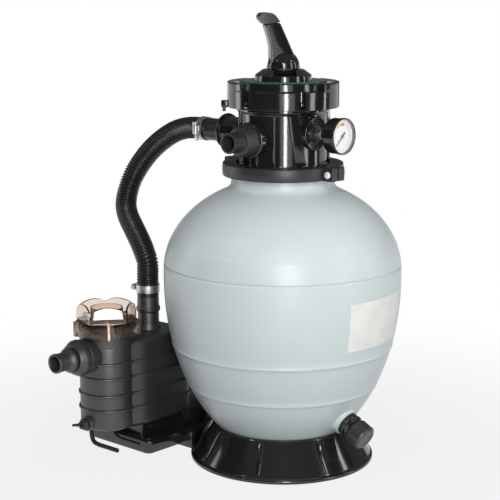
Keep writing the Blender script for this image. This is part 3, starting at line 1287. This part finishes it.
def build_motor(pump, looks):
    """Seal plate, shaft seal, impeller, shaft with rotor, stator, case, end shield, fan and fan cover."""
    spot = (0, 0, SHAFT_HEIGHT)
    aim = (0, 1, 0)
    start = CHAMBER_LENGTH + CLEAR
    plate_end = start + SEAL_PLATE_THICK
    plate = ring("seal_plate", SHAFT_HOLE, SEAL_PLATE_RADIUS, start, plate_end, PART_SIDES)
    piece("seal_plate", plate, looks["charcoal"], pump, spot, aim)
    seal = ring("shaft_seal", SHAFT_HOLE, 0.014, CHAMBER_LENGTH - 0.008, CHAMBER_LENGTH, PIPE_SIDES)
    piece("shaft_seal", seal, looks["rubber"], pump, spot, aim)
    back = CHAMBER_LENGTH - 0.008 - 2 * CLEAR
    eye = back - IMPELLER_WIDTH
    plate = back - IMPELLER_PLATE
    wheel = [
        (SHAFT_HOLE, eye), (IMPELLER_HUB, eye), (IMPELLER_HUB + 0.0015, plate - 0.001),
        (IMPELLER_RADIUS, plate), (IMPELLER_RADIUS, back), (SHAFT_HOLE, back),
    ]
    impeller = piece("impeller", lathe("impeller", wheel, PIPE_SIDES), looks["white"], pump, spot, aim)
    vane_low = (IMPELLER_HUB, -VANE_HALF, plate + 0.001 - VANE_WIDTH)
    vane_high = (IMPELLER_RADIUS - 0.0015, VANE_HALF, plate + 0.001)
    for index in range(IMPELLER_VANES):
        frame = empty("vane_frame", spot, pump)
        frame.rotation_euler = (math.radians(-90), 0, 0)
        angle = 360.0 * index / IMPELLER_VANES + 9.0
        combine(impeller, piece("tool", block("vane", vane_low, vane_high), None, frame, turn=angle), "UNION")
        bpy.data.objects.remove(frame)
    fan_seat = MOTOR_END + FAN_GAP
    fan_end = fan_seat + FAN_WIDTH
    core_start = MOTOR_START + CORE_START
    core_end = core_start + STATOR_LENGTH - 0.004
    core = STATOR_BORE - 0.001
    nose = eye - 0.001
    shaft = [
        (0, nose), (SHAFT_RADIUS, nose), (SHAFT_RADIUS, core_start), (core, core_start), (core, core_end),
        (SHAFT_RADIUS, core_end), (SHAFT_RADIUS, fan_end + 0.002), (0, fan_end + 0.002),
    ]
    piece("motor_shaft", lathe("motor_shaft", shaft, SMALL_SIDES), looks["core"], pump, spot, aim)
    pack_start = core_start - 0.002
    pack_end = pack_start + STATOR_LENGTH
    stator = ring("motor_stator", STATOR_BORE, MOTOR_BORE - CLEAR, pack_start, pack_end, PART_SIDES)
    piece("motor_stator", stator, looks["core"], pump, spot, aim)
    shell = [
        (SHAFT_HOLE, MOTOR_START), (MOTOR_RADIUS - 0.004, MOTOR_START), (MOTOR_RADIUS, MOTOR_START + 0.004),
        (MOTOR_RADIUS, MOTOR_END), (MOTOR_BORE, MOTOR_END), (MOTOR_BORE, MOTOR_START + SHIELD_THICK),
        (SHAFT_HOLE, MOTOR_START + SHIELD_THICK),
    ]
    case = piece("motor_case", lathe("motor_case", shell, PART_SIDES), looks["satin"], pump, spot, aim)
    foot_mesh = block("foot", (-0.030, MOTOR_START + 0.040, PLATFORM_HEIGHT + CLEAR),
                      (0.030, MOTOR_START + 0.080, SHAFT_HEIGHT - MOTOR_RADIUS + 0.012))
    unite(case, foot_mesh)
    inside = rod("bore", MOTOR_BORE, MOTOR_START + SHIELD_THICK + 0.001, MOTOR_END + 0.01, PART_SIDES)
    cut(case, inside, location=spot, direction=aim)
    shield_low = MOTOR_END - SHIELD_THICK
    shield = ring("motor_end_shield", SHAFT_HOLE, MOTOR_BORE - CLEAR, shield_low, MOTOR_END, PART_SIDES)
    piece("motor_end_shield", shield, looks["core"], pump, spot, aim)
    web = fan_seat + FAN_WEB
    face = web + FAN_PLATE
    blades = [
        (SHAFT_HOLE, fan_seat), (FAN_HUB, fan_seat), (FAN_HUB, web), (FAN_RADIUS, web), (FAN_RADIUS, face),
        (FAN_HUB, face), (FAN_HUB, fan_end), (SHAFT_HOLE, fan_end),
    ]
    fan = piece("cooling_fan", lathe("cooling_fan", blades, SMALL_SIDES), looks["satin"], pump, spot, aim)
    blade_low = (FAN_HUB - 0.0005, -BLADE_HALF, face - 0.0005)
    blade_high = (FAN_RADIUS - 0.001, BLADE_HALF, face + BLADE_WIDTH)
    for index in range(FAN_BLADES):
        frame = empty("blade_frame", spot, pump)
        frame.rotation_euler = (math.radians(-90), 0, 0)
        angle = 360.0 * index / FAN_BLADES + 5.0
        combine(fan, piece("tool", block("blade", blade_low, blade_high), None, frame, turn=angle), "UNION")
        bpy.data.objects.remove(frame)
    cover_start = MOTOR_END - 0.010
    cover_end = cover_start + COVER_LENGTH
    inner = MOTOR_RADIUS + CLEAR
    outer = inner + COVER_WALL
    hood = [
        (0, cover_end - COVER_WALL), (inner - 0.004, cover_end - COVER_WALL), (inner, cover_end - 0.007),
        (inner, cover_start), (outer, cover_start), (outer, cover_end - 0.006), (outer - 0.006, cover_end),
        (0, cover_end),
    ]
    cover = piece("fan_cover", lathe("fan_cover", hood, PART_SIDES), looks["satin"], pump, spot, aim)
    for index in range(6):
        frame = empty("vent_frame", spot, pump)
        frame.rotation_euler = (math.radians(-90), 0, 0)
        vent = rod("vent", 0.0062, cover_end - 0.01, cover_end + 0.01, 8)
        combine(cover, piece("tool", vent, None, frame, around(0.030, 60.0 * index + 4.0)), "DIFFERENCE")
        bpy.data.objects.remove(frame)


def build_terminal_box(pump, looks):
    """Terminal box saddled on the motor, and the gland in its side."""
    front = MOTOR_START + 0.010
    outline = rounded_outline((-BOX_HALF, front), (BOX_HALF, front + BOX_LENGTH), 0.006, 3)
    low = SHAFT_HEIGHT + MOTOR_RADIUS * 0.8
    housing = piece("terminal_box", prism("terminal_box", outline, low, BOX_TOP), looks["satin"], pump)
    saddle = rod("saddle", (MOTOR_RADIUS + CLEAR) / math.cos(math.pi / 56), 0, 0.4, 56)
    cut(housing, saddle, location=(0, 0, SHAFT_HEIGHT), direction=(0, 1, 0))
    middle = (SHAFT_HEIGHT + MOTOR_RADIUS + BOX_TOP) / 2 + 0.001
    spot = (-BOX_HALF, front + BOX_LENGTH / 2, middle)
    nut = [
        (0.004, CLEAR), (GLAND_RADIUS, CLEAR), (GLAND_RADIUS, 0.007), (GLAND_RADIUS - 0.002, 0.0085),
        (GLAND_RADIUS - 0.002, GLAND_LENGTH - 0.004), (GLAND_RADIUS - 0.0035, GLAND_LENGTH),
        (0.004, GLAND_LENGTH),
    ]
    piece("cable_gland", lathe("cable_gland", nut, SMALL_SIDES), looks["satin"], pump, spot, (-1, 0, 0))


def centre_footprint(root):
    """Moves the set so that the middle of its footprint, leaving out the hose, is at the origin."""
    bpy.context.view_layer.update()
    corners = []
    for item in bpy.data.objects:
        if item.type == "MESH" and item.name != "filter_hose":
            corners += [item.matrix_world @ vertex.co for vertex in item.data.vertices]
    middle_x = (min(point.x for point in corners) + max(point.x for point in corners)) / 2
    middle_y = (min(point.y for point in corners) + max(point.y for point in corners)) / 2
    root.location = (-middle_x, -middle_y, 0)
    bpy.context.view_layer.update()
    print("set moved by, m:", round(-middle_x, 6), round(-middle_y, 6))


def main():
    clear_scene()
    looks = finishes()
    root = empty("filter_set", (0, 0, 0))
    valve = empty("valve_axis", (0, 0, FLANGE_PLANE), root)
    pump = empty("pump_axis", (PUMP_X, POT_SIDE, 0), root)
    build_tank(root, looks)
    build_base(root, looks)
    build_underdrain(root, looks)
    build_drain(root, looks)
    build_valve_body(valve, looks)
    build_diffuser(valve, looks)
    build_clamp(valve, looks)
    build_lid(valve, looks)
    build_rotor(valve, looks)
    build_handle(valve, looks)
    build_adapters(valve, looks)
    build_gauge(valve, looks)
    build_pump_housing(pump, looks)
    build_strainer(pump, looks)
    build_pump_fittings(pump, looks)
    build_platform(root, pump, looks)
    build_motor(pump, looks)
    build_terminal_box(pump, looks)
    build_hose(root, looks)
    build_hose_clamps(root, looks)
    centre_footprint(root)


main()
